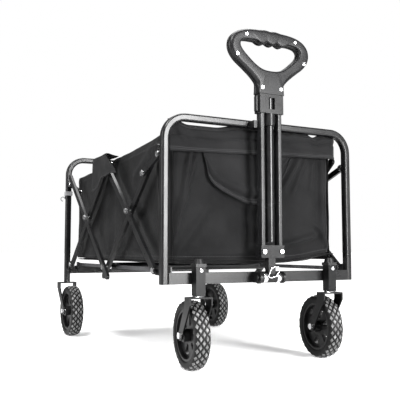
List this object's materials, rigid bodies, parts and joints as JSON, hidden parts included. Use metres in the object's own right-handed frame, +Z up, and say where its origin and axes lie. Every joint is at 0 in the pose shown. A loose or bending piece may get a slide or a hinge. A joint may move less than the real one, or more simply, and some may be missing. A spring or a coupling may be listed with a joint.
{
  "type": "folding camp wagon",
  "caption": "Folding camp wagon: black steel frames joined by scissor bars, an open fabric basket, swivel front casters, fixed rear wheels and a telescoping pull handle with a D-shaped grip.",
  "frame": {"origin": "on the ground under the middle of the wagon's footprint", "axes": "+Z up, +Y to the rear, +X to the right of someone who faces the rear from the handle end"},
  "size_m": [0.6018, 0.8777, 0.8214],
  "materials": {
    "steel_black": "satin black powder coat",
    "zinc": "bright zinc",
    "rubber_black": "matt",
    "plastic_black": "fine grain",
    "rim_plastic": "satin",
    "basket_fabric": "woven polyester",
    "floor_pad": "woven polyester over boards",
    "strap_grey": "webbing with a wire hook"
  },
  "bodies": {
    "rear": {"rear_frame": "steel_black", "rear_rail": "steel_black", "rear_leg_brackets": "steel_black", "rear_left_fork": "steel_black", "rear_right_fork": "steel_black", "rear_axle_bolts": "zinc", "hook_strap": "strap_grey", "basket_rear_wall": "basket_fabric", "basket_left_side": "basket_fabric", "basket_right_side": "basket_fabric", "basket_floor": "floor_pad"},
    "bars_b": {"left_bar_b": "steel_black", "right_bar_b": "steel_black", "bar_b_bolts": "zinc"},
    "bars_a": {"left_bar_a": "steel_black", "right_bar_a": "steel_black", "bar_a_rivets": "zinc", "cross_tube": "steel_black"},
    "bars_c": {"left_bar_c": "steel_black", "right_bar_c": "steel_black", "bar_c_rivets": "zinc"},
    "bars_d": {"left_bar_d": "steel_black", "right_bar_d": "steel_black"},
    "front": {"front_frame": "steel_black", "front_rail": "steel_black", "front_leg_brackets": "steel_black", "front_left_post": "steel_black", "front_right_post": "steel_black", "post_caps": "plastic_black", "handle_bracket": "steel_black", "handle_clip": "plastic_black", "basket_front_wall": "basket_fabric"},
    "links_front": {"front_links": "steel_black", "front_link_rivets": "zinc"},
    "links_rear": {"rear_links": "steel_black", "rear_link_rivets": "zinc"},
    "struts_front": {"front_floor_struts": "steel_black"},
    "struts_rear": {"rear_floor_struts": "steel_black"},
    "caster_left": {"front_left_fork": "steel_black", "front_left_axle_bolt": "zinc"},
    "caster_right": {"front_right_fork": "steel_black", "front_right_axle_bolt": "zinc"},
    "front_wheel_left": {"front_left_tyre": "rubber_black", "front_left_rim": "rim_plastic"},
    "front_wheel_right": {"front_right_tyre": "rubber_black", "front_right_rim": "rim_plastic"},
    "rear_wheel_left": {"rear_left_tyre": "rubber_black", "rear_left_rim": "rim_plastic"},
    "rear_wheel_right": {"rear_right_tyre": "rubber_black", "rear_right_rim": "rim_plastic"},
    "handle": {"handle_hinge": "steel_black", "handle_block": "plastic_black", "handle_rails": "steel_black", "handle_collar": "plastic_black", "handle_bolts": "zinc"},
    "handle_upper": {"slide_tube": "steel_black", "grip_front": "plastic_black", "grip_back": "plastic_black", "grip_screws": "zinc"},
    "button": {"release_button": "plastic_black"}
  },
  "joints": [
    {"name": "fold", "type": "hinge", "parent": "rear", "child": "bars_b", "pos_m": [0, 0.378, 0.232], "axis": [-1, 0, 0], "range_deg": [0, 42.3], "deforming": ["basket_left_side", "basket_right_side", "basket_floor"]},
    {"name": "rear_cross", "type": "hinge", "parent": "bars_b", "child": "bars_a", "pos_m": [0, 0.198, 0.38144], "axis": [-1, 0, 0], "range_deg": [-84.6, 0]},
    {"name": "top_cross", "type": "hinge", "parent": "bars_b", "child": "bars_c", "pos_m": [0, 0.018, 0.53088], "axis": [-1, 0, 0], "range_deg": [-84.6, 0]},
    {"name": "front_cross", "type": "hinge", "parent": "bars_c", "child": "bars_d", "pos_m": [0, -0.162, 0.38144], "axis": [-1, 0, 0], "range_deg": [0, 84.6]},
    {"name": "front_foot", "type": "hinge", "parent": "bars_c", "child": "front", "pos_m": [0, -0.342, 0.232], "axis": [-1, 0, 0], "range_deg": [0, 42.3]},
    {"name": "front_link_swing", "type": "hinge", "parent": "front", "child": "links_front", "pos_m": [0, -0.362, 0.50279], "axis": [1, 0, 0], "range_deg": [0, 90.49]},
    {"name": "rear_link_swing", "type": "hinge", "parent": "rear", "child": "links_rear", "pos_m": [0, 0.398, 0.50279], "axis": [-1, 0, 0], "range_deg": [0, 90.49]},
    {"name": "front_floor_fold", "type": "hinge", "parent": "front", "child": "struts_front", "pos_m": [0, -0.356, 0.232], "axis": [1, 0, 0], "range_deg": [0, 78]},
    {"name": "rear_floor_fold", "type": "hinge", "parent": "rear", "child": "struts_rear", "pos_m": [0, 0.392, 0.232], "axis": [-1, 0, 0], "range_deg": [0, 78]},
    {"name": "left_caster_swivel", "type": "hinge", "parent": "front", "child": "caster_left", "pos_m": [-0.19, -0.404, 0.172], "axis": [0, 0, 1], "continuous": true},
    {"name": "front_left_wheel_spin", "type": "hinge", "parent": "caster_left", "child": "front_wheel_left", "pos_m": [-0.18608, -0.35917, 0.081], "axis": [0.9962, -0.0872, 0], "continuous": true},
    {"name": "rear_left_wheel_spin", "type": "hinge", "parent": "rear", "child": "rear_wheel_left", "pos_m": [-0.268, 0.356, 0.081], "axis": [1, 0, 0], "continuous": true},
    {"name": "right_caster_swivel", "type": "hinge", "parent": "front", "child": "caster_right", "pos_m": [0.19, -0.404, 0.172], "axis": [0, 0, 1], "continuous": true},
    {"name": "front_right_wheel_spin", "type": "hinge", "parent": "caster_right", "child": "front_wheel_right", "pos_m": [0.19392, -0.35917, 0.081], "axis": [0.9962, -0.0872, 0], "continuous": true},
    {"name": "rear_right_wheel_spin", "type": "hinge", "parent": "rear", "child": "rear_wheel_right", "pos_m": [0.268, 0.356, 0.081], "axis": [1, 0, 0], "continuous": true},
    {"name": "handle_pitch", "type": "hinge", "parent": "front", "child": "handle", "pos_m": [0, -0.416, 0.213], "axis": [1, 0, 0], "range_deg": [0, 100]},
    {"name": "handle_slide", "type": "slide", "parent": "handle", "child": "handle_upper", "axis": [0, 0, 1], "range_m": [0, 0.26]},
    {"name": "release_press", "type": "slide", "parent": "handle", "child": "button", "axis": [1, 0, 0], "range_m": [0, 0.004], "stiffness_N_per_m": 400}
  ],
  "couplings": [
    {"joint": "rear_cross", "follows": "fold", "ratio": -2},
    {"joint": "top_cross", "follows": "fold", "ratio": -2},
    {"joint": "front_cross", "follows": "fold", "ratio": 2},
    {"joint": "front_foot", "follows": "fold", "ratio": 1},
    {"joint": "front_link_swing", "follows": "fold", "ratio": 2.1393},
    {"joint": "rear_link_swing", "follows": "fold", "ratio": 2.1393},
    {"joint": "front_floor_fold", "follows": "fold", "ratio": 1.844},
    {"joint": "rear_floor_fold", "follows": "fold", "ratio": 1.844}
  ]
}
